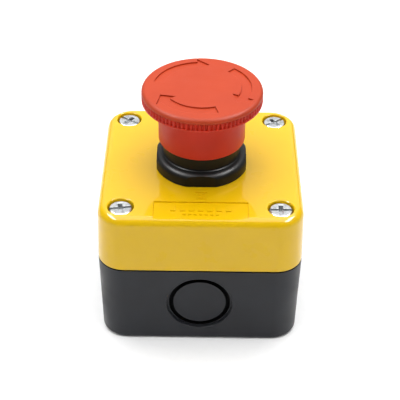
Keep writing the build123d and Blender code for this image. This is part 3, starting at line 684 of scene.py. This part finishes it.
# %% Turn the skirt and draw in its flutes
FLUTES = 86
STEPS = 6
HEAD_R, HEAD_LOW = 20.0, 75.9
SKIRT_R, SKIRT_IN, SKIRT_LOW, SKIRT_FLOOR = 14.5, 13.4, 61.2, 74.6
BAND_TOP, SEAT_R, SEAT_LOW = 78.5, 18.3, 76.9
HUB_R, HUB_LOW, HUB_BORE_R = 6.0, 68.0, 3.52
SPINDLE_SEAT_R, SPINDLE_SEAT_Z = 4.7, 75.7
LIP = 0.5
FLUTE_SHAPE = (((2, 5), 0.26), ((3, 4), 0.62))      # steps of each flute, and how deep they are drawn in
tube = [(SKIRT_IN, SKIRT_LOW + 0.3), (SKIRT_IN + 0.15, SKIRT_LOW + 0.08), (SKIRT_IN + 0.3, SKIRT_LOW)]
tube += arc((SKIRT_R - 0.45, SKIRT_LOW + 0.45), 0.45, -90, 0, 5)
tube += arc((SKIRT_R + 0.5, HEAD_LOW - 0.5), 0.5, 180, 90, 5)
band = arc((HEAD_R - 0.2, HEAD_LOW + 0.2), 0.2, -90, 0, 4)
band += [(HEAD_R, HEAD_LOW + LIP), (HEAD_R, HEAD_LOW + LIP + 0.06), (HEAD_R, 77.6), (HEAD_R, BAND_TOP)]
top = [(SEAT_R, BAND_TOP), (SEAT_R, SEAT_LOW), (SPINDLE_SEAT_R, SEAT_LOW), (SPINDLE_SEAT_R, SPINDLE_SEAT_Z)]
top += [(HUB_BORE_R, SPINDLE_SEAT_Z), (HUB_BORE_R, HUB_LOW)]
hub = [(HUB_R, HUB_LOW), (HUB_R, SKIRT_FLOOR - 0.3), (HUB_R + 0.3, SKIRT_FLOOR)]
hub += [(SKIRT_IN - 0.3, SKIRT_FLOOR), (SKIRT_IN, SKIRT_FLOOR - 0.3), (SKIRT_IN, SKIRT_LOW + 0.3)]
skirt = turned("head_skirt", tube + band + top + hub, FLUTES * STEPS)
open_edit(skirt)
for phases, depth in FLUTE_SHAPE:
    def in_groove(v):
        step = round(math.atan2(v.co.y, v.co.x) / math.tau * FLUTES * STEPS) % STEPS
        on_band = v.co.xy.length > (HEAD_R - 0.01) * MM and v.co.z > (HEAD_LOW + LIP + 0.03) * MM
        return on_band and step in phases
    pick("verts", in_groove)
    share = (HEAD_R - depth) / HEAD_R
    bpy.ops.transform.resize(value=(share, share, 1), center_override=(0, 0, 0))
close_edit()
smooth(skirt, 40)
hand_over(skirt, "mushroom_skirt", "head", red)

# %% Turn the cap
CAP_LOW, CAP_EDGE_Z, HEAD_TOP = 78.6, 80.35, round(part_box("mushroom_cap")[1].z * 1000, 2)
DOME_R = (HEAD_R ** 2 + (HEAD_TOP - CAP_EDGE_Z) ** 2) / (2 * (HEAD_TOP - CAP_EDGE_Z))


def dome(radius):
    """Height of the cap's dome at a distance from its middle."""
    return HEAD_TOP - DOME_R + math.sqrt(DOME_R ** 2 - radius ** 2)


RIM_R = 1.6
CAP_ROOF, SOCKET_IN, SOCKET_OUT, SOCKET_LOW = 78.9, 16.4, 18.2, 76.95
edge = [(HEAD_R - 0.1, CAP_LOW), (HEAD_R, CAP_LOW + 0.1)]
edge += arc((HEAD_R - RIM_R, dome(HEAD_R - RIM_R) - RIM_R), RIM_R, 0, 84, 9)
crown = [(r, dome(r)) for r in (17.6, 16.8, 15.4, 14.0, 12.6, 11.2, 9.6, 7.6, 5.2, 2.6, 0)]
inside = [(0, CAP_ROOF), (SOCKET_IN, CAP_ROOF), (SOCKET_IN, SOCKET_LOW)]
inside += [(SOCKET_OUT, SOCKET_LOW), (SOCKET_OUT, CAP_LOW)]
cap = turned("head_cap", edge + crown + inside + [(HEAD_R - 0.1, CAP_LOW)], 180)
print("cap", [round(v * 1000, 1) for v in cap.dimensions], "mm")

# %% [markdown]
# Each arrow is cut with two tools of its own shape: a curved bar, made by spinning a small upright outline
# through part of a turn, and a block whose far side is drawn to a point. Their floors slope with the dome, so
# the arrow is equally deep all over. The cut edges are then broken with a fine bevel.

# %% Cut the three arrows
ARROW_R, ARROW_W, ARROWHEAD_W, ARROW_DEPTH = 14.5, 3.4, 7.5, 0.5
BAR_SWEEP, TIP_SWEEP, TAIL_AT = 73, 15, 49


def arrow_bar():
    """The curved bar, from the arrowhead's base on the X axis round to the tail."""
    inner, outer = ARROW_R - ARROW_W / 2, ARROW_R + ARROW_W / 2
    floor_line = [(r, dome(r) - ARROW_DEPTH) for r in (inner, outer)]
    outline = floor_line + [(outer, HEAD_TOP + 1), (inner, HEAD_TOP + 1), floor_line[0]]
    return turned("arrow_bar", outline, 36, BAR_SWEEP)


def arrow_head():
    """The arrowhead, from its wide base on the X axis to its tip behind it."""
    tip_x, tip_y = [ARROW_R * f(math.radians(-TIP_SWEEP)) for f in (math.cos, math.sin)]
    left, right = ARROW_R - ARROWHEAD_W / 2, ARROW_R + ARROWHEAD_W / 2
    low = 79.0
    tool = start_block("arrow_head", (left, tip_y, low), (right, 0.05, HEAD_TOP + 1))
    open_edit(tool)
    pick("verts", lambda v: v.co.y < -1 * MM)
    bpy.ops.transform.resize(value=(0, 1, 1), center_override=(tip_x * MM, 0, 0))
    pick("verts", lambda v: True)
    bpy.ops.mesh.remove_doubles(threshold=0.002 * MM)
    for corner_x, corner_y in ((left, 0), (right, 0), (tip_x, tip_y)):
        pick("verts", lambda v: v.co.z < (low + 0.01) * MM and abs(v.co.x - corner_x * MM) < 0.1 * MM)
        rise = dome(math.hypot(corner_x, corner_y)) - ARROW_DEPTH - low
        bpy.ops.transform.translate(value=(0, 0, rise * MM))
    bpy.ops.mesh.select_all(action="SELECT")
    bpy.ops.mesh.normals_make_consistent(inside=False)
    close_edit()
    return tool


for number in range(3):
    for tool in (arrow_bar(), arrow_head()):
        combine(cap, at_place(tool, turn=TAIL_AT - BAR_SWEEP + 120 * number))
open_edit(cap)
broken = pick("edges", lambda e: len(e.link_faces) == 2 and e.calc_face_angle() > 0.8 and all(
    abs(v.co.z / MM - dome(v.co.xy.length / MM)) < 0.02 for v in e.verts))
bpy.ops.mesh.bevel(offset=0.1 * MM, segments=2)
close_edit()
smooth(cap, 35)
print("arrows cut,", broken, "edges broken")
hand_over(cap, "mushroom_cap", "head", cap_red)

# %% [markdown]
# ## Four screws
# The screws are turned with their threads, and their heads have a slot with a shorter cross arm, for either
# kind of driver. One is made and then copied, and every copy is left at its own angle, as a hand leaves it.

# %% Turn one screw and copy it
SCREW_TOP, SCREW_UNDER, SCREW_LENGTH, POINT_H = 50.4, 48.1, 36.0, 0.6
SCREW_CORE_R, SCREW_CREST_R, SCREW_PITCH = 1.4, 1.8, 1.25
SCREW_HEAD_R, HEAD_EDGE_R = 3.75, 0.45
SCREW_TURNS = (10, -35, 0, 35)      # degrees, the angle each screw was left at
height = SCREW_UNDER - SCREW_LENGTH
profile = [(0, height), (1.0, height), (SCREW_CORE_R, height + POINT_H)]
height += POINT_H
while height < SCREW_UNDER - 1.5:
    profile += [(SCREW_CREST_R, height + 0.55), (SCREW_CREST_R, height + 0.7)]
    height += SCREW_PITCH
    profile.append((SCREW_CORE_R, height))
profile += [(SCREW_CORE_R, SCREW_UNDER), (SCREW_HEAD_R - 0.2, SCREW_UNDER), (SCREW_HEAD_R, SCREW_UNDER + 0.2)]
profile += arc((SCREW_HEAD_R - HEAD_EDGE_R, SCREW_TOP - HEAD_EDGE_R), HEAD_EDGE_R, 0, 90, 6)
screw = turned("cover_screw", profile + [(1.6, SCREW_TOP), (0, SCREW_TOP)], 64)
combine(screw, start_block("slot", (-5, -0.52, SCREW_TOP - 1.1), (5, 0.52, SCREW_TOP + 1)))
combine(screw, start_block("cross_arm", (-0.72, -2.3, SCREW_TOP - 1.25), (0.72, 2.3, SCREW_TOP + 1)))
open_edit(screw)
pick("edges", lambda e: len(e.link_faces) == 2 and e.calc_face_angle() > 1.2 and all(
    abs(v.co.z / MM - SCREW_TOP) < 0.01 for v in e.verts))
bpy.ops.mesh.bevel(offset=0.07 * MM, segments=2)
close_edit()
smooth(screw, 30)
for number, ((x, y), turn) in enumerate(zip(CORNERS, SCREW_TURNS), start=1):
    copy = screw.copy()
    copy.data = screw.data.copy()
    copy.name = f"cover_screw_{number}"
    scene.collection.objects.link(copy)
    hand_over(at_place(copy, x, y, turn), "cover_screws", "enclosure", plated)
bpy.data.objects.remove(screw)

# %% [markdown]
# ## Parts that keep their shape
# The seals, the contacts and the other working parts are already right, so they only take a finish. Two of
# the springs are made again in the next step, because they have to shorten.

# %% Finish the working parts
FINISHES = {
    "yellow_cover": yellow, "grey_box": dark_grey, "red_head": red, "black_bezel": black,
    "grey_plastic": pale_grey, "white_plastic": white, "red_slider": slider_red, "seal_rubber": rubber,
    "plated_steel": plated, "spring_steel": wire, "copper_alloy": copper, "silver_tip": silver,
}
for entry in frame["record"]["subparts"]:
    part = frame["nodes"][entry["node"]]
    part.data.materials.clear()
    part.data.materials.append(FINISHES[entry["material_slot"]])
print("finished", len(frame["nodes"]), "parts")

# %% [markdown]
# ## Springs on the moving bodies
# A coil spring stands on a seat that stays where it is, while its top goes down with the button. Riding on
# the moving body alone, it would sink through its seat. A shape key or an armature could press it; here a copy
# rides on that body unpressed, and only its length before and after the button's travel is printed. The
# imported coil already has the right wire, and the copy only has its loose triangles merged.

# %% Copy the springs onto their moving bodies
TRAVEL = next(joint for joint in frame["joints"] if joint["name"] == "button_press")["range_m"][1]


def pressed_spring(node, body):
    """A copy of a packed spring that rides on a body; its length before and after the travel is printed."""
    foot, top = [corner.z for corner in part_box(node)]
    spring = bpy.data.objects.new(node + "_coil", frame["nodes"][node].data.copy())
    scene.collection.objects.link(spring)
    open_edit(spring)
    bpy.ops.mesh.select_all(action="SELECT")
    bpy.ops.mesh.remove_doubles(threshold=0.001 * MM)
    close_edit()
    hand_over(spring, node, body, wire)
    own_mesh(spring)
    lengths = [round(length / MM, 2) for length in (top - foot, top - foot - TRAVEL)]
    print(node, "shortens from", lengths[0], "to", lengths[1], "mm")


pressed_spring("return_spring", "plunger")
pressed_spring("bridge_spring", "contact_carrier")

# %% [markdown]
# ## Sizes and the end
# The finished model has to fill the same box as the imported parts, so both boxes are written side by side.

# %% Write the sizes and close
visual_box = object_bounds()
for box_name, corners in (("packed", cad_box), ("finished", visual_box)):
    print(box_name, "box reaches", [round(v * 1000, 2) for v in corners[1]], "mm")
